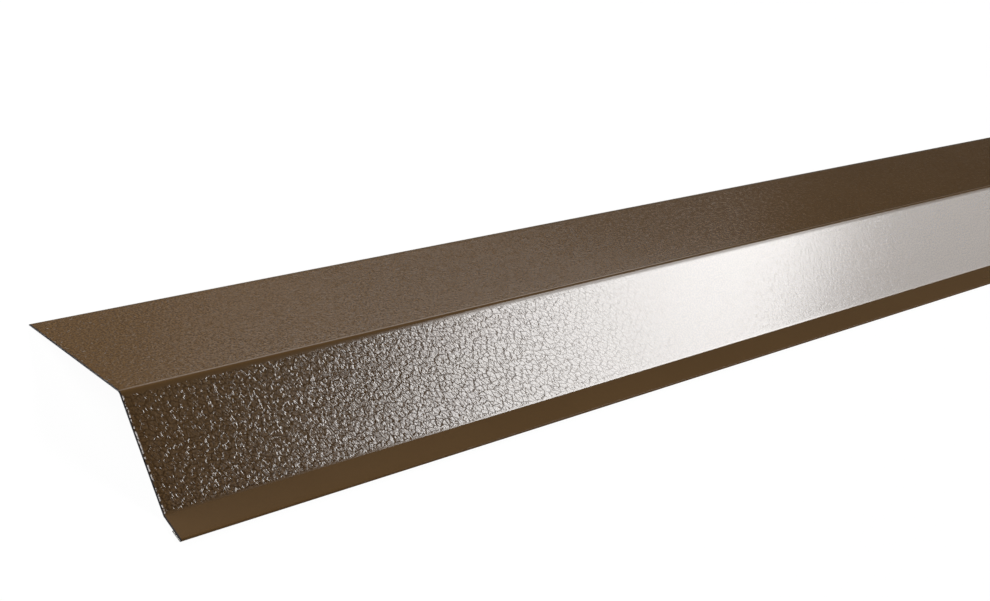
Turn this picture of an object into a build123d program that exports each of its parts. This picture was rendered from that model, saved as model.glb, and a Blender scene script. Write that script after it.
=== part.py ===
from build123d import *

import math
import os

# Drip edge flashing: one strip of coated steel, folded lengthwise and hemmed along its drip side.
# +X runs along the stock, -Y is the side that its face looks to, and +Z is up.
# It lies unheld on a level floor, on the flange's free edge and on the hem.
# The origin is on the floor, at the middle of the stock's bounding box.

# Driving dimensions, in millimetres and degrees.
# Each width is measured on the coated side, between sharp outside corners.
STOCK_LENGTH = 2000.0
SHEET_THICKNESS = 0.7
FLANGE_WIDTH = 100.0
FACE_WIDTH = 65.0
KICK_WIDTH = 17.0
HEM_WIDTH = 8.0

# Angles between the two flats of a fold, seen from under the sheet.
FLANGE_TO_FACE_ANGLE = 132.0
FACE_TO_KICK_ANGLE = 151.0
HEM_OPENING_ANGLE = 2.5

# Inner radius of each fold. The kick is folded the other way, so its inner side is the coated one.
TOP_FOLD_INNER_RADIUS = 3.0
KICK_FOLD_INNER_RADIUS = 0.8
HEM_INNER_RADIUS = 0.15

NODE_NAME = "flashing_sheet"

# Radii of the folds on the coated side, and how far each fold turns the sheet.
TOP_FOLD_OUTER_RADIUS = TOP_FOLD_INNER_RADIUS + SHEET_THICKNESS
HEM_OUTER_RADIUS = HEM_INNER_RADIUS + SHEET_THICKNESS
STRAIGHT_ANGLE = 180.0
TOP_FOLD_TURN = STRAIGHT_ANGLE - FLANGE_TO_FACE_ANGLE
KICK_FOLD_TURN = STRAIGHT_ANGLE - FACE_TO_KICK_ANGLE
HEM_TURN = STRAIGHT_ANGLE - HEM_OPENING_ANGLE


def corner_setback(radius, turn):
    """How much of a flat a fold of this radius takes up, from its sharp corner."""
    return radius * math.tan(math.radians(turn) / 2)


def flat(length, after):
    """A straight stretch of the coated side that carries on from the end of another."""
    start = after @ 1
    return Line(start, start + (after % 1) * length)


def fold(radius, turn, after):
    """An arc of the coated side, tangent to the stretch before it."""
    return JernArc(after @ 1, after % 1, radius, turn)


def coated_side():
    """The coated side's outline as a list of flats and folds, from the flange's free edge to the hem's."""
    top_setback = corner_setback(TOP_FOLD_OUTER_RADIUS, TOP_FOLD_TURN)
    kick_setback = corner_setback(KICK_FOLD_INNER_RADIUS, KICK_FOLD_TURN)
    flange = Line((0, 0), (top_setback - FLANGE_WIDTH, 0))
    top_fold = fold(TOP_FOLD_OUTER_RADIUS, TOP_FOLD_TURN, after=flange)
    face = flat(FACE_WIDTH - top_setback - kick_setback, after=top_fold)
    kick_fold = fold(KICK_FOLD_INNER_RADIUS, -KICK_FOLD_TURN, after=face)
    kick = flat(KICK_WIDTH - kick_setback - HEM_OUTER_RADIUS, after=kick_fold)
    hem_fold = fold(HEM_OUTER_RADIUS, HEM_TURN, after=kick)
    hem_flap = flat(HEM_WIDTH - HEM_OUTER_RADIUS, after=hem_fold)
    return [flange, top_fold, face, kick_fold, kick, hem_fold, hem_flap]


def direction_of(vector):
    """The way a vector points, in degrees anticlockwise from +X of the section's plane."""
    return math.degrees(math.atan2(vector.Y, vector.X)) % (2 * STRAIGHT_ANGLE)


def rest_turn(outline):
    """How far the section turns to stand level on the flange's free edge and the hem's lowest point."""
    hem_fold, hem_flap = outline[-2:]
    flange_foot = Vector(0, -SHEET_THICKNESS)
    to_fold = hem_fold.arc_center - flange_foot
    fold_dip = math.degrees(math.asin(HEM_OUTER_RADIUS / to_fold.length))
    steepest = max(direction_of(hem_flap @ 1 - flange_foot), direction_of(to_fold) + fold_dip)
    return STRAIGHT_ANGLE - steepest


def sheet_section():
    """The sheet's cross-section at rest, in the plane across the stock."""
    outline = coated_side()
    section = make_face(Wire(outline).offset_2d(SHEET_THICKNESS, side=Side.LEFT, closed=True))
    return Plane.YZ * Rot(0, 0, rest_turn(outline)) * section


def flashing_sheet():
    """The folded sheet, centred along the stock and across its footprint, with its feet on the floor."""
    sheet = extrude(sheet_section(), amount=STOCK_LENGTH / 2, both=True)
    box = sheet.bounding_box()
    return Pos(0, -box.center().Y, -box.min.Z) * sheet


os.makedirs("parts", exist_ok=True)
sheet = flashing_sheet()
sheet.label = NODE_NAME
export_step(sheet, f"parts/{NODE_NAME}.step")
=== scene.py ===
import math

import bpy
from mathutils import Matrix, Vector


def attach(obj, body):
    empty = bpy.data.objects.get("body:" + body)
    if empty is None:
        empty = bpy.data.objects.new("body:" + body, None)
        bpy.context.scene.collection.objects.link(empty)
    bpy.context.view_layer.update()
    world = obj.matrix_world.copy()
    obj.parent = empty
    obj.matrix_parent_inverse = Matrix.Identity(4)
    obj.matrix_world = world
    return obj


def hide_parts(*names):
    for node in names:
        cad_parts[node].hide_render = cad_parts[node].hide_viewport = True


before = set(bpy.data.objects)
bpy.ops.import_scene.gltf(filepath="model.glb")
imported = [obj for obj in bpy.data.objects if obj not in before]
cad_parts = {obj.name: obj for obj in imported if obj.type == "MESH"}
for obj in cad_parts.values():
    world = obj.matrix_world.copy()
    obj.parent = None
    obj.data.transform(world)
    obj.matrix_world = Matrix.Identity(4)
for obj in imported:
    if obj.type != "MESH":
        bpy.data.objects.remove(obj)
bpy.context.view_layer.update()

# The sheet's section, in metres and degrees, as the solid has it. Radii are the coated side's.
STOCK_LENGTH = 2.0
SHEET_THICKNESS = 0.0007
FLANGE_WIDTH = 0.100
FACE_WIDTH = 0.065
KICK_WIDTH = 0.017
HEM_WIDTH = 0.008
TOP_FOLD_TURN = 48.0
KICK_FOLD_TURN = -29.0
HEM_TURN = 177.5
TOP_FOLD_RADIUS = 0.0037
KICK_FOLD_RADIUS = 0.0008
HEM_RADIUS = 0.00085

# How finely the visible sheet is divided, and how far its cut edges are rounded.
ROWS_ALONG = 320
STEPS_PER_FLAT = {"flange": 24, "face": 16, "kick": 5, "hem": 3}
STEPS_PER_FOLD = {"top": 14, "kick": 6, "hem": 16}
EDGE_ROUNDING = 0.00025
EDGE_STEPS = 3

# The sheet's material slots, in the order in which its materials are added.
COATED, BACKED, CUT = 0, 1, 2

# The camera, fitted to the photograph's 990 by 601 frame.
CAMERA_PLACE = (-1.30595, -0.46440, 0.51111)
CAMERA_HEADING = 39.515
CAMERA_PITCH = -33.699
CAMERA_ROLL = 20.733
CAMERA_LENS_MM = 52.396
SENSOR_WIDTH_MM = 36.0
CAMERA_SEES_FROM, CAMERA_SEES_TO = 0.01, 60.0

# The leather grain, in millimetres of the unrolled sheet. A groove's width is a share of its cell or
# spacing. Turns are in degrees from the sheet's length. Cells make the bright strokes, veins the dark lines,
# which are also painted in as shade below.
WARP_SIZE = 6.0
WARP_REACH = 1.1
CELL_WIDTH, CELL_LENGTH, CELL_TURN = 2.0, 5.8, -60.0
CELL_GROOVE, CELL_DEPTH = 0.155, 0.060
VEIN_WIDTH, VEIN_LENGTH, VEIN_TURN = 2.5, 5.2, -36.0
VEIN_GROOVE, VEIN_DEPTH = 0.100, 0.040
HATCH_SPACING, HATCH_TURN = 1.4, -62.0
HATCH_GROOVE, HATCH_DEPTH = 0.16, 0.014
SWELL_SIZE, SWELL_DEPTH = 3.2, 0.006
PATCH_SIZE = 9.0
STROKE_SIZE = 3.0
MOTTLE_SIZE = 1.2

# Where noise lets a pattern through: the noise levels between which it grows, and its shares at the two.
CELL_LEVELS, CELL_SHARES = (0.48, 0.70), (0.10, 1.0)
VEIN_LEVELS, VEIN_SHARES = (0.46, 0.68), (0.1, 0.6)
HATCH_LEVELS = (0.48, 0.58)
MOTTLE_LEVELS = (0.32, 0.68)

# The dark lines are painted shade, in the colour and in the reflection, along the veins' grooves. LINE_REACH
# is how far one reaches into its vein cell, as a share of the cell, and it is full over LINE_CORE of that. A
# rim is a band of painted shade beside a bright stroke, placed as shares of the cell.
LINE_CORE, LINE_REACH = 0.35, 0.115
RIM_STARTS, RIM_ENDS = (0.14, 0.18), (0.21, 0.27)
RIM_LEVELS, RIM_SHADE = (0.44, 0.6), 0.6
# How far the painted shade in the lines mixes the colour towards its dark brown.
PAINTED_SHADE_SHARE = 0.4

# The far stretch looks smooth in the photograph, so the grain's depth and the painted shade of its dark lines
# fade along the sheet, which isn't wear. A pair is where a fade starts and ends, in metres. FAR_GRAIN is the
# depth's share that is left.
GRAIN_FADES, FAR_GRAIN = (-0.83, -0.56), 0.28
LINE_FADES = (-0.88, -0.58)
LINE_SHADE, FAR_LINE_SHADE = 0.97, 0.10

# The folds and the kick are smooth: where the embossing ends and starts, in metres from the flange's edge.
# The flange's grain is FLANGE_SHARE times as deep as the face's.
FLANGE_GRAIN_ENDS = (0.0970, 0.0985)
FACE_GRAIN_STARTS = (0.1018, 0.1036)
FACE_GRAIN_ENDS = (0.1632, 0.1646)
FLANGE_SHARE = 1.9

# The coating's gloss, as specular levels: where the flange's changes into the face's, and where the hem's
# fold dulls to HEM_SHARE of that, in metres from the flange's edge.
COATING_ROUGHNESS = 0.165
FLANGE_SHINE, FACE_SHINE = 0.15, 0.5
SHINE_CHANGES = FACE_GRAIN_STARTS
HEM_DULLS, HEM_SHARE = (0.1802, 0.1809), 0.05

# Painted highlights and a dark lip on the coating, in metres: a painted highlight along the top fold's start,
# painted glints in flecks beside the cut ends, and the dark lip at the very end. A highlight's strength is a
# share of the paler colour.
FOLD_HIGHLIGHT_STARTS = (0.0984, 0.0989)
FOLD_HIGHLIGHT_ENDS = (0.0992, 0.0997)
FOLD_HIGHLIGHT_SHARE = 0.09
# Painted light on the kick: the share of a paler brown mixed in to make it lighter than the face.
KICK_PAINTED_LIGHT_SHARE = 0.035
# Painted glints by the cut ends: their flecks' size in metres, their noise levels, and their reach from the
# end.
GLINT_SIZE = 0.0014
GLINT_LEVELS = (0.45, 0.6)
GLINT_REACH = (0.0010, 0.0016)
LIP_REACH = (0.0005, 0.0008)

# Slow drift in the coating's colour: its features' size in metres, its noise levels and its strongest share.
DRIFT_SIZE = 0.07
DRIFT_LEVELS, DRIFT_SHARE = (0.35, 0.65), 0.3

# Colours, as sRGB from 0 to 255.
COATING_DARK, COATING_LIGHT = (62, 45, 26), (85, 64, 39)
COATING_DRIFT = (80, 60, 37)
# The pale colour of the painted highlights and glints.
PAINTED_HIGHLIGHT_COLOUR = (215, 208, 204)
COATING_LIP = (38, 38, 42)
# The dark brown of the painted shade in the grain's lines.
PAINTED_SHADE_COLOUR = (30, 22, 16)
# The paler brown of the kick's painted light.
KICK_PAINTED_LIGHT_COLOUR = (140, 110, 75)
BACKING_DARK, BACKING_LIGHT = (150, 148, 144), (168, 166, 161)
STEEL_DARK, STEEL_LIGHT = (70, 68, 64), (125, 122, 116)

# The floor, in metres: half its side, and how far from its middle its glow changes from the near share to the
# far one. The glow is the plain white part of what the camera sees. The rest is a matte grey, one level for
# the object and another for the camera.
FLOOR_HALF = 40.0
FLOOR_FADE = (1.2, 2.6)
FLOOR_GLOW = (0.955, 1.0)
FLOOR_TO_OBJECT, FLOOR_TO_CAMERA = 0.10, 0.92

# The places that the lamps face.
HIGHLIGHT = (-0.66, -0.04, 0.02)
BEFORE_NEAR_END = (-0.9, 0.0, 0.0)
NEAR_END = (-1.0, 0.0, 0.0)
MIDDLE = (0.0, 0.0, 0.0)

# The room's own light, which is darker towards one compass direction: where the dark starts and is full, as
# cosines of the angle from it.
DARK_AZIMUTH = -10.0
DARK_STARTS, DARK_FULL = math.cos(math.radians(65)), math.cos(math.radians(44))
ROOM_LEVEL = 0.15
DARK_LEVEL = 0.03


def setback(radius, turn):
    """How much of a flat a fold takes up, from its sharp corner."""
    return radius * math.tan(math.radians(abs(turn)) / 2)


class SectionWalk:
    """Follows the coated side across the sheet and keeps each point, its heading and the distance walked."""

    def __init__(self):
        self.place = Vector((0.0, 0.0))
        self.heading = math.pi
        self.walked = 0.0
        self.points = [(self.place.copy(), self.heading, self.walked)]

    def keep(self):
        self.points.append((self.place.copy(), self.heading, self.walked))

    def flat(self, length, steps):
        for _ in range(steps):
            self.place += Vector((math.cos(self.heading), math.sin(self.heading))) * length / steps
            self.walked += length / steps
            self.keep()

    def fold(self, radius, turn, steps):
        step = math.radians(turn) / steps
        chord = 2 * radius * math.sin(abs(step) / 2)
        for _ in range(steps):
            self.heading += step / 2
            self.place += Vector((math.cos(self.heading), math.sin(self.heading))) * chord
            self.heading += step / 2
            self.walked += radius * abs(step)
            self.keep()


def section_points():
    """The coated side's points at rest: place across and up, heading, and distance from the flange's edge."""
    walk = SectionWalk()
    top_setback = setback(TOP_FOLD_RADIUS, TOP_FOLD_TURN)
    kick_setback = setback(KICK_FOLD_RADIUS, KICK_FOLD_TURN)
    walk.flat(FLANGE_WIDTH - top_setback, STEPS_PER_FLAT["flange"])
    walk.fold(TOP_FOLD_RADIUS, TOP_FOLD_TURN, STEPS_PER_FOLD["top"])
    walk.flat(FACE_WIDTH - top_setback - kick_setback, STEPS_PER_FLAT["face"])
    walk.fold(KICK_FOLD_RADIUS, KICK_FOLD_TURN, STEPS_PER_FOLD["kick"])
    walk.flat(KICK_WIDTH - kick_setback - HEM_RADIUS, STEPS_PER_FLAT["kick"])
    walk.fold(HEM_RADIUS, HEM_TURN, STEPS_PER_FOLD["hem"])
    walk.flat(HEM_WIDTH - HEM_RADIUS, STEPS_PER_FLAT["hem"])
    flange_foot = Vector((0.0, -SHEET_THICKNESS))
    to_lip = walk.points[-1][0] - flange_foot
    turn = math.pi - math.atan2(to_lip.y, to_lip.x) % (2 * math.pi)
    spin = Matrix.Rotation(turn, 2)
    foot = spin @ flange_foot
    places = [spin @ place for place, _, _ in walk.points]
    middle = (max(p.x for p in places) + min(p.x for p in places)) / 2
    shift = Vector((-middle, -foot.y))
    return [(p + shift, h + turn, s) for p, (_, h, s) in zip(places, walk.points)]


def middle_line():
    """The middle of the sheet's thickness: place, way to the coated side, distance from the flange's edge."""
    line = []
    for place, heading, walked in section_points():
        under = Vector((-math.sin(heading), math.cos(heading)))
        line.append((place + under * (SHEET_THICKNESS / 2), -under, walked))
    return line


def rim(centre, along, outwards, half):
    """A rounded cut edge from the coated side to the underside, as places about the sheet's middle."""
    places = []
    for side in (1, -1):
        for k in range(EDGE_STEPS + 1):
            a = math.radians(90) * (k / EDGE_STEPS if side > 0 else 1 - k / EDGE_STEPS)
            reach = EDGE_ROUNDING * math.sin(a)
            depth = half - EDGE_ROUNDING + EDGE_ROUNDING * math.cos(a)
            places.append(centre + along * (reach - EDGE_ROUNDING) + outwards * side * depth)
    return places


def ring_at(line, inset):
    """One ring round the sheet, as places, distances from the flange's edge, and slots."""
    half = SHEET_THICKNESS / 2 - inset
    flange_centre, flange_out, flange_walked = line[0]
    lip_centre, lip_out, lip_walked = line[-1]
    flange_edge = rim(flange_centre, (flange_centre - line[1][0]).normalized(), flange_out, half)
    lip_edge = rim(lip_centre, (lip_centre - line[-2][0]).normalized(), lip_out, half)
    coated = [(centre + out * half, walked, COATED) for centre, out, walked in line]
    coated[0] = (flange_edge[0], flange_walked, COATED)
    coated[-1] = (lip_edge[0], lip_walked, COATED)
    backed = [(centre - out * half, walked, BACKED) for centre, out, walked in reversed(line)]
    backed[0] = (lip_edge[-1], lip_walked, BACKED)
    backed[-1] = (flange_edge[-1], flange_walked, BACKED)
    lip_cut = [(place, lip_walked, CUT) for place in lip_edge[1:-1]]
    flange_cut = [(place, flange_walked, CUT) for place in reversed(flange_edge[1:-1])]
    return coated + lip_cut + backed + flange_cut


def rows_along():
    """Each ring's place along the stock and its inset, which rounds the two cut ends."""
    start = -STOCK_LENGTH / 2
    rounded = []
    for k in range(EDGE_STEPS + 1):
        a = math.radians(90) * k / EDGE_STEPS
        rounded.append((start + EDGE_ROUNDING * (1 - math.sin(a)), EDGE_ROUNDING * (1 - math.cos(a))))
    straight = STOCK_LENGTH - 2 * EDGE_ROUNDING
    body = [(start + EDGE_ROUNDING + straight * k / ROWS_ALONG, 0.0) for k in range(1, ROWS_ALONG)]
    return list(reversed(rounded)) + body + [(-x, inset) for x, inset in rounded]


def wall_faces(row_count, ring_slots):
    """The faces between neighbouring rings, and their slots: a face with a corner on a cut is cut."""
    count = len(ring_slots)
    faces = []
    slots = []
    for row in range(row_count - 1):
        here, there = row * count, (row + 1) * count
        for i in range(count):
            j = (i + 1) % count
            faces.append((here + i, there + i, there + j, here + j))
            slots.append(max(ring_slots[i], ring_slots[j]))
    return faces, slots


def end_faces(start, flip, ring_slots, points):
    """The faces that close a cut end, from the ring whose first vertex is start."""
    backed_start = start + ring_slots.index(BACKED)
    partner = [backed_start + points - 1 - i for i in range(points)]
    faces = [(start + i, start + i + 1, partner[i + 1], partner[i]) for i in range(points - 1)]
    faces.append(tuple(range(start + points - 1, backed_start + 1)))
    faces.append(tuple(range(backed_start + points - 1, start + len(ring_slots))) + (start,))
    return [tuple(reversed(face)) for face in faces] if flip else faces


def build_sheet():
    """The visible sheet as one closed mesh, with its unrolled place in the UV map named strip."""
    line = middle_line()
    rows = rows_along()
    vertices = []
    uvs = []
    for x, inset in rows:
        ring = ring_at(line, inset)
        vertices.extend((x, place.x, place.y) for place, _, _ in ring)
        uvs.extend((x, walked) for _, walked, _ in ring)
    ring_slots = [slot for _, _, slot in ring]
    faces, slots = wall_faces(len(rows), ring_slots)
    last_start = (len(rows) - 1) * len(ring_slots)
    for start, flip in ((0, False), (last_start, True)):
        closing = end_faces(start, flip, ring_slots, len(line))
        faces.extend(closing)
        slots.extend([CUT] * len(closing))
    mesh = bpy.data.meshes.new("flashing_sheet_surface")
    mesh.from_pydata(vertices, [], faces)
    mesh.polygons.foreach_set("material_index", slots)
    mesh.polygons.foreach_set("use_smooth", [True] * len(faces))
    strip = mesh.uv_layers.new(name="strip")
    for loop in mesh.loops:
        strip.data[loop.index].uv = uvs[loop.vertex_index]
    mesh.validate()
    mesh.update()
    sheet = bpy.data.objects.new("coated_sheet", mesh)
    bpy.context.scene.collection.objects.link(sheet)
    return sheet


class Nodes:
    """Short calls for building a node tree."""

    def __init__(self, owner):
        owner.use_nodes = True
        self.tree = owner.node_tree
        self.tree.nodes.clear()

    def add(self, kind, inputs=None, **settings):
        node = self.tree.nodes.new(kind)
        for name, value in settings.items():
            setattr(node, name, value)
        for name, value in (inputs or {}).items():
            self.feed(node.inputs[name], value)
        return node

    def feed(self, socket, value):
        if isinstance(value, bpy.types.NodeSocket):
            self.tree.links.new(value, socket)
        else:
            socket.default_value = value

    def math(self, operation, a, b=0.0, clamp=False):
        return self.add("ShaderNodeMath", {0: a, 1: b}, operation=operation, use_clamp=clamp).outputs[0]

    def ramp(self, value, low, high, to_low=0.0, to_high=1.0, shape="SMOOTHSTEP"):
        node = self.add(
            "ShaderNodeMapRange",
            {"Value": value, "From Min": low, "From Max": high, "To Min": to_low, "To Max": to_high},
            interpolation_type=shape,
        )
        return node.outputs["Result"]

    def band(self, value, starts, ends):
        """One between the two places and zero outside, each place being where the change begins and ends."""
        return self.math("MULTIPLY", self.ramp(value, *starts), self.ramp(value, *ends, 1.0, 0.0))

    def axis(self, place, name):
        return self.add("ShaderNodeSeparateXYZ", {0: place}).outputs[name]

    def mix_colour(self, factor, a, b):
        node = self.add("ShaderNodeMix", data_type="RGBA")
        for name, value in (("Factor_Float", factor), ("A_Color", a), ("B_Color", b)):
            self.feed(next(s for s in node.inputs if s.identifier == name), value)
        return next(s for s in node.outputs if s.identifier == "Result_Color")

    def finish(self, shader, target="ShaderNodeOutputMaterial"):
        self.add(target, {"Surface": shader})


def srgb(r, g, b):
    """An sRGB colour from 0 to 255 as the linear one that a shader takes."""
    def linear(c):
        c /= 255
        return c / 12.92 if c <= 0.04045 else ((c + 0.055) / 1.055) ** 2.4
    return (linear(r), linear(g), linear(b), 1.0)


def grey(level):
    """A linear grey as the colour that a shader takes."""
    return (level, level, level, 1.0)


def strip_place(nodes):
    """The unrolled place, in metres: along the stock, and across from the flange's edge."""
    return nodes.add("ShaderNodeUVMap", uv_map="strip").outputs[0]


def plane_noise(nodes, place, size, detail=2.0):
    """Flat noise with features of the given size."""
    settings = {"Vector": place, "Scale": 1 / size, "Detail": detail}
    return nodes.add("ShaderNodeTexNoise", settings, noise_dimensions="2D").outputs


def noise_channels(nodes, place, size):
    """Flat noises of one size that don't follow each other, named Red, Green and Blue."""
    colour = plane_noise(nodes, place, size, 1.0)["Color"]
    return nodes.add("ShaderNodeSeparateColor", {0: colour}).outputs


def warped(nodes, place):
    """The place pushed about by broad noise, so that no groove runs straight."""
    noise = {0: plane_noise(nodes, place, WARP_SIZE)["Color"], 1: (0.5, 0.5, 0.5)}
    centred = nodes.add("ShaderNodeVectorMath", noise, operation="SUBTRACT").outputs[0]
    push = {0: centred, 1: (WARP_REACH * 2, WARP_REACH * 2, 0.0), 2: place}
    return nodes.add("ShaderNodeVectorMath", push, operation="MULTIPLY_ADD").outputs[0]


def turned(nodes, place, turn):
    """The place seen along a direction that many degrees from the sheet's length."""
    settings = {"Vector": place, "Axis": (0.0, 0.0, 1.0), "Angle": math.radians(-turn)}
    return nodes.add("ShaderNodeVectorRotate", settings, rotation_type="AXIS_ANGLE").outputs[0]


def cell_edge(nodes, place, width, length, turn):
    """How far a place is from the nearest groove between long cells, as a share of a cell."""
    size = {0: turned(nodes, place, turn), 1: (1 / length, 1 / width, 0.0)}
    sized = nodes.add("ShaderNodeVectorMath", size, operation="MULTIPLY").outputs[0]
    settings = {"Vector": sized, "Scale": 1.0, "Randomness": 1.0}
    edge = nodes.add("ShaderNodeTexVoronoi", settings, voronoi_dimensions="2D", feature="DISTANCE_TO_EDGE")
    return edge.outputs["Distance"]


def hatch_edge(nodes, place, spacing, turn):
    """How far a place is from the nearest of many parallel grooves, as a share of their spacing."""
    across = nodes.axis(turned(nodes, place, turn), "Y")
    return nodes.math("PINGPONG", nodes.math("DIVIDE", across, spacing), 0.5)


def relief(nodes, edge, groove, depth):
    """The height beside a groove, from nothing at its bottom to its full depth at its rim."""
    return nodes.math("MULTIPLY", nodes.ramp(edge, 0.0, groove, shape="LINEAR"), depth)


def let_through(nodes, noise, levels, shares, depth):
    """A depth that grows with the noise between two levels, from one share of it to another."""
    return nodes.ramp(noise, *levels, depth * shares[0], depth * shares[1])


def face_share(nodes, across):
    """One on the face's embossed part and zero on the folds beside it."""
    return nodes.band(across, FACE_GRAIN_STARTS, FACE_GRAIN_ENDS)


def leather_grain(nodes):
    """The embossing's height in millimetres, the painted shade of its dark lines and its mottling."""
    place = strip_place(nodes)
    to_mm = {0: place, 1: (1000.0, -1000.0, 0.0)}
    mm = nodes.add("ShaderNodeVectorMath", to_mm, operation="MULTIPLY").outputs[0]
    along = nodes.axis(place, "X")
    across = nodes.axis(place, "Y")
    pushed = warped(nodes, mm)
    cells = cell_edge(nodes, pushed, CELL_WIDTH, CELL_LENGTH, CELL_TURN)
    veins = cell_edge(nodes, pushed, VEIN_WIDTH, VEIN_LENGTH, VEIN_TURN)
    hatch = hatch_edge(nodes, pushed, HATCH_SPACING, HATCH_TURN)
    strokes = noise_channels(nodes, mm, STROKE_SIZE)
    patches = noise_channels(nodes, mm, PATCH_SIZE)
    swell = plane_noise(nodes, mm, SWELL_SIZE, 1.0)["Fac"]

    cell_depth = let_through(nodes, strokes["Red"], CELL_LEVELS, CELL_SHARES, CELL_DEPTH)
    vein_depth = let_through(nodes, strokes["Green"], VEIN_LEVELS, VEIN_SHARES, VEIN_DEPTH)
    hatch_depth = let_through(nodes, patches["Green"], HATCH_LEVELS, (0.0, 1.0), HATCH_DEPTH)
    height = relief(nodes, cells, CELL_GROOVE, cell_depth)
    height = nodes.math("ADD", height, relief(nodes, veins, VEIN_GROOVE, vein_depth))
    height = nodes.math("ADD", height, relief(nodes, hatch, HATCH_GROOVE, hatch_depth))
    height = nodes.math("ADD", height, nodes.math("MULTIPLY", swell, SWELL_DEPTH))
    height = nodes.math("MULTIPLY", height, nodes.ramp(along, *GRAIN_FADES, 1.0, FAR_GRAIN))

    # Painted shade: dark lines in the veins' grooves and dark bands beside the bright strokes, fading along
    # the sheet.
    line = nodes.ramp(veins, LINE_CORE * LINE_REACH, LINE_REACH, 1.0, 0.0)
    rim_shade = nodes.band(cells, RIM_STARTS, RIM_ENDS)
    rim_shade = nodes.math("MULTIPLY", rim_shade, nodes.ramp(strokes["Red"], *RIM_LEVELS, 0.0, RIM_SHADE))
    line = nodes.math("MAXIMUM", line, rim_shade)
    line = nodes.math("MULTIPLY", line, nodes.ramp(along, *LINE_FADES, LINE_SHADE, FAR_LINE_SHADE))

    face = face_share(nodes, across)
    embossed = nodes.math("ADD", nodes.ramp(across, *FLANGE_GRAIN_ENDS, FLANGE_SHARE, 0.0), face)
    mottle = nodes.ramp(plane_noise(nodes, mm, MOTTLE_SIZE, 1.0)["Fac"], *MOTTLE_LEVELS)
    mottle = nodes.math("MULTIPLY", nodes.math("SUBTRACT", mottle, 0.5), embossed)
    mottle = nodes.math("ADD", 0.5, mottle, clamp=True)
    return nodes.math("MULTIPLY", height, embossed), nodes.math("MULTIPLY", line, face), mottle


def painted_highlights_and_lip(nodes, place):
    """The painted highlight along the top fold's start, the painted glints in flecks by the cut ends, and how
    dark the lip is.
    """
    across = nodes.axis(place, "Y")
    # A painted highlight along the top fold's start.
    fold = nodes.math("MULTIPLY", nodes.band(across, FOLD_HIGHLIGHT_STARTS, FOLD_HIGHLIGHT_ENDS), FOLD_HIGHLIGHT_SHARE)
    from_middle = nodes.math("ABSOLUTE", nodes.axis(place, "X"))
    to_end = nodes.math("SUBTRACT", STOCK_LENGTH / 2, from_middle)
    # Painted glints in flecks on the face beside the cut ends.
    glints = nodes.ramp(plane_noise(nodes, place, GLINT_SIZE, 1.0)["Fac"], *GLINT_LEVELS)
    glints = nodes.math("MULTIPLY", glints, face_share(nodes, across))
    glints = nodes.math("MULTIPLY", nodes.ramp(to_end, *GLINT_REACH, 1.0, 0.0), glints)
    return nodes.math("MAXIMUM", fold, glints), nodes.ramp(to_end, *LIP_REACH, 1.0, 0.0)


def coating_colour(nodes, line, mottle):
    """The brown, mottled and drifting, with painted shade in its lines, painted highlights, dark lips,
    and painted light that makes the kick slightly paler.
    """
    place = strip_place(nodes)
    drift = nodes.ramp(plane_noise(nodes, place, DRIFT_SIZE, 4.0)["Fac"], *DRIFT_LEVELS, 0.0, DRIFT_SHARE)
    painted_highlight, lip = painted_highlights_and_lip(nodes, place)
    # Painted light that makes the kick slightly paler.
    kick = nodes.ramp(nodes.axis(place, "Y"), *FACE_GRAIN_ENDS, 0.0, KICK_PAINTED_LIGHT_SHARE)
    colour = nodes.mix_colour(mottle, srgb(*COATING_DARK), srgb(*COATING_LIGHT))
    colour = nodes.mix_colour(drift, colour, srgb(*COATING_DRIFT))
    # Painted highlights along the top fold and painted glints at the cut ends.
    colour = nodes.mix_colour(painted_highlight, colour, srgb(*PAINTED_HIGHLIGHT_COLOUR))
    colour = nodes.mix_colour(lip, colour, srgb(*COATING_LIP))
    # Painted shade in the grain's lines.
    colour = nodes.mix_colour(nodes.math("MULTIPLY", line, PAINTED_SHADE_SHARE), colour, srgb(*PAINTED_SHADE_COLOUR))
    return nodes.mix_colour(kick, colour, srgb(*KICK_PAINTED_LIGHT_COLOUR))


def coating_shine(nodes, line):
    """The coating's specular level: lower on the flange, in the grain's lines and on the hem's fold."""
    across = nodes.axis(strip_place(nodes), "Y")
    zone = nodes.ramp(across, *SHINE_CHANGES, FLANGE_SHINE, FACE_SHINE)
    zone = nodes.math("MULTIPLY", zone, nodes.ramp(across, *HEM_DULLS, 1.0, HEM_SHARE))
    # The lines' painted shade also takes away reflection here.
    return nodes.math("MULTIPLY", nodes.math("SUBTRACT", 1.0, line), zone)


def coating_material():
    """The brown plastic coating with its embossed leather grain."""
    material = bpy.data.materials.new("brown_leather_grain_coating")
    nodes = Nodes(material)
    height, line, mottle = leather_grain(nodes)
    bump = nodes.add("ShaderNodeBump", {"Height": height, "Strength": 1.0, "Distance": 0.001})
    shader = nodes.add(
        "ShaderNodeBsdfPrincipled",
        {
            "Base Color": coating_colour(nodes, line, mottle),
            "Roughness": COATING_ROUGHNESS,
            "IOR": 1.5,
            "Specular IOR Level": coating_shine(nodes, line),
            "Normal": bump.outputs[0],
        },
    )
    nodes.finish(shader.outputs[0])
    return material


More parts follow.
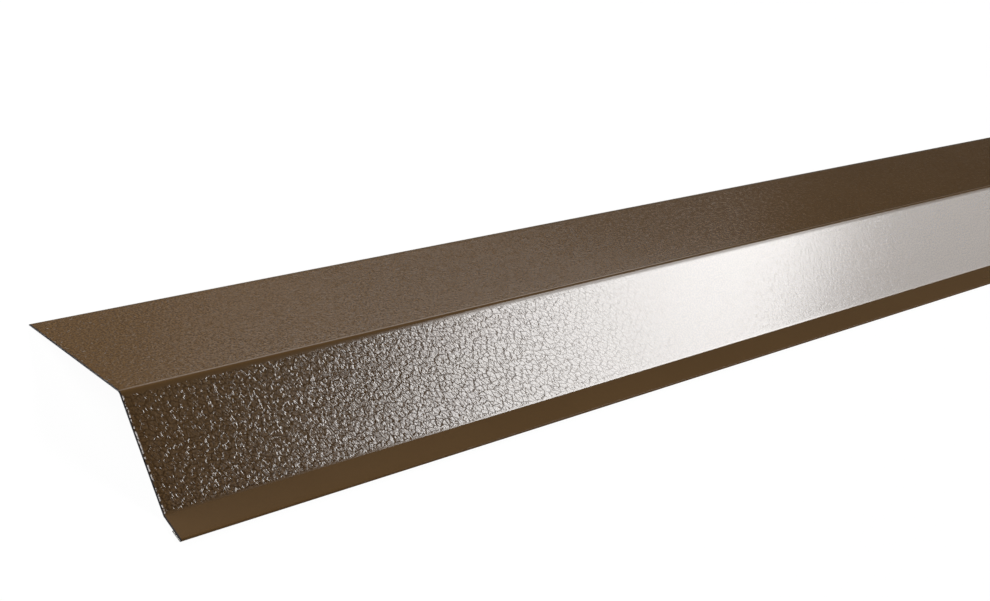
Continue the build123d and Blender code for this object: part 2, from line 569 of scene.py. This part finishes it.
def backing_material():
    """The thin grey coat on the sheet's underside."""
    material = bpy.data.materials.new("grey_backing_coat")
    nodes = Nodes(material)
    settings = {"Vector": strip_place(nodes), "Scale": 30.0, "Detail": 5.0}
    drift = nodes.add("ShaderNodeTexNoise", settings, noise_dimensions="2D").outputs["Fac"]
    colour = nodes.mix_colour(drift, srgb(*BACKING_DARK), srgb(*BACKING_LIGHT))
    bump = nodes.add("ShaderNodeBump", {"Height": drift, "Strength": 0.2, "Distance": 0.0005})
    shader = nodes.add(
        "ShaderNodeBsdfPrincipled",
        {"Base Color": colour, "Roughness": 0.5, "IOR": 1.5, "Normal": bump.outputs[0]},
    )
    nodes.finish(shader.outputs[0])
    return material


def cut_material():
    """The sheared steel edge, dulled and speckled."""
    material = bpy.data.materials.new("sheared_steel_edge")
    nodes = Nodes(material)
    place = nodes.add("ShaderNodeTexCoord").outputs["Object"]
    settings = {"Vector": place, "Scale": 2500.0, "Detail": 2.0}
    speckle = nodes.add("ShaderNodeTexNoise", settings).outputs["Fac"]
    colour = nodes.mix_colour(speckle, srgb(*STEEL_DARK), srgb(*STEEL_LIGHT))
    bump = nodes.add("ShaderNodeBump", {"Height": speckle, "Strength": 0.4, "Distance": 0.0001})
    shader = nodes.add(
        "ShaderNodeBsdfPrincipled",
        {"Base Color": colour, "Metallic": 0.6, "Roughness": 0.45, "Normal": bump.outputs[0]},
    )
    nodes.finish(shader.outputs[0])
    return material


def floor_material():
    """A floor that the camera sees near white, the object sees as dark grey, and that is clear from below."""
    material = bpy.data.materials.new("pale_floor")
    nodes = Nodes(material)
    seen = nodes.add("ShaderNodeLightPath").outputs["Is Camera Ray"]
    colour = nodes.mix_colour(seen, grey(FLOOR_TO_OBJECT), grey(FLOOR_TO_CAMERA))
    matte = nodes.add("ShaderNodeBsdfDiffuse", {"Color": colour}).outputs[0]
    white = nodes.add("ShaderNodeEmission", {"Color": grey(1.0), "Strength": 1.0}).outputs[0]
    place = nodes.add("ShaderNodeTexCoord").outputs["Object"]
    away = nodes.add("ShaderNodeVectorMath", {0: place}, operation="LENGTH").outputs["Value"]
    share = nodes.math("MULTIPLY", seen, nodes.ramp(away, *FLOOR_FADE, *FLOOR_GLOW))
    mixed = nodes.add("ShaderNodeMixShader", {0: share, 1: matte, 2: white}).outputs[0]
    below = nodes.add("ShaderNodeNewGeometry").outputs["Backfacing"]
    clear = nodes.add("ShaderNodeBsdfTransparent").outputs[0]
    nodes.finish(nodes.add("ShaderNodeMixShader", {0: below, 1: mixed, 2: clear}).outputs[0])
    return material


def build_floor():
    """A wide floor that casts no shadow, so that the lamp below it reaches the underside."""
    mesh = bpy.data.meshes.new("floor")
    corners = [(-1, -1), (1, -1), (1, 1), (-1, 1)]
    mesh.from_pydata([(x * FLOOR_HALF, y * FLOOR_HALF, 0.0) for x, y in corners], [], [(0, 1, 2, 3)])
    floor = bpy.data.objects.new("floor", mesh)
    bpy.context.scene.collection.objects.link(floor)
    mesh.materials.append(floor_material())
    floor.visible_shadow = False


def direction(heading, pitch):
    """The way that a compass heading and a pitch give, in radians."""
    return Vector((math.cos(pitch) * math.cos(heading), math.cos(pitch) * math.sin(heading), math.sin(pitch)))


def place_camera():
    data = bpy.data.cameras.new("camera")
    data.sensor_width = SENSOR_WIDTH_MM
    data.lens = CAMERA_LENS_MM
    data.clip_start = CAMERA_SEES_FROM
    data.clip_end = CAMERA_SEES_TO
    camera = bpy.data.objects.new("camera", data)
    heading = math.radians(CAMERA_HEADING)
    pitch = math.radians(CAMERA_PITCH)
    ahead = direction(heading, pitch)
    level = ahead.to_track_quat("-Z", "Y").to_matrix()
    roll = Matrix.Rotation(math.radians(CAMERA_ROLL), 3, "Z")
    camera.matrix_world = Matrix.Translation(CAMERA_PLACE) @ (level @ roll).to_4x4()
    bpy.context.scene.collection.objects.link(camera)
    bpy.context.scene.camera = camera


def softbox(name, azimuth, elevation, distance, width, height, radiance, aim):
    """An area lamp that faces aim from a direction in degrees, sized in metres, with the radiance shown."""
    way = direction(math.radians(azimuth), math.radians(elevation))
    lamp = bpy.data.lights.new(name, "AREA")
    lamp.shape = "RECTANGLE"
    lamp.size = width
    lamp.size_y = height
    lamp.energy = radiance * 4 * width * height
    box = bpy.data.objects.new(name, lamp)
    box.location = Vector(aim) + way * distance
    box.rotation_euler = (-way).to_track_quat("-Z", "Y").to_euler()
    bpy.context.scene.collection.objects.link(box)


def light_the_sheet():
    """Two boxes towards the face's highlight, three for the flange and the near end, and one from below."""
    softbox("sheen_box", -19.3, 43.3, distance=4.5, width=2.95, height=1.36, radiance=12.8, aim=HIGHLIGHT)
    softbox("low_box", -11, 29.5, distance=4.4, width=1.7, height=0.95, radiance=3.3, aim=HIGHLIGHT)
    softbox("side_box", 115, 27, distance=1.0, width=0.55, height=0.35, radiance=15.0, aim=BEFORE_NEAR_END)
    softbox("strip_box", 54, 15, distance=4.0, width=2.0, height=0.8, radiance=1.75, aim=HIGHLIGHT)
    softbox("rim_box", 198, 50, distance=2.0, width=0.7, height=0.7, radiance=4.0, aim=NEAR_END)
    softbox("under_box", -60, -50, distance=1.6, width=2.6, height=1.2, radiance=5.0, aim=MIDDLE)


def light_the_room():
    """A dim room that the object sees, darker towards DARK_AZIMUTH, and plain white for the camera."""
    world = bpy.data.worlds.new("studio")
    bpy.context.scene.world = world
    nodes = Nodes(world)
    seen = nodes.add("ShaderNodeLightPath").outputs["Is Camera Ray"]
    way = nodes.add("ShaderNodeTexCoord").outputs["Generated"]
    flatten = {0: way, 1: (1.0, 1.0, 0.0)}
    flat_way = nodes.add("ShaderNodeVectorMath", flatten, operation="MULTIPLY").outputs[0]
    compass = nodes.add("ShaderNodeVectorMath", {0: flat_way}, operation="NORMALIZE").outputs[0]
    dark = math.radians(DARK_AZIMUTH)
    towards_dark = {0: compass, 1: (math.cos(dark), math.sin(dark), 0.0)}
    towards = nodes.add("ShaderNodeVectorMath", towards_dark, operation="DOT_PRODUCT").outputs["Value"]
    level = nodes.ramp(towards, DARK_STARTS, DARK_FULL, ROOM_LEVEL, DARK_LEVEL)
    room = nodes.add("ShaderNodeCombineColor", {0: level, 1: level, 2: level}).outputs[0]
    colour = nodes.mix_colour(seen, room, grey(1.0))
    background = nodes.add("ShaderNodeBackground", {"Color": colour, "Strength": 1.0}).outputs[0]
    nodes.finish(background, "ShaderNodeOutputWorld")


bpy.context.scene.view_settings.view_transform = "Standard"
place_camera()
build_floor()
light_the_sheet()
light_the_room()
sheet = build_sheet()
for material in (coating_material(), backing_material(), cut_material()):
    sheet.data.materials.append(material)
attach(sheet, "root")
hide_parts("flashing_sheet")
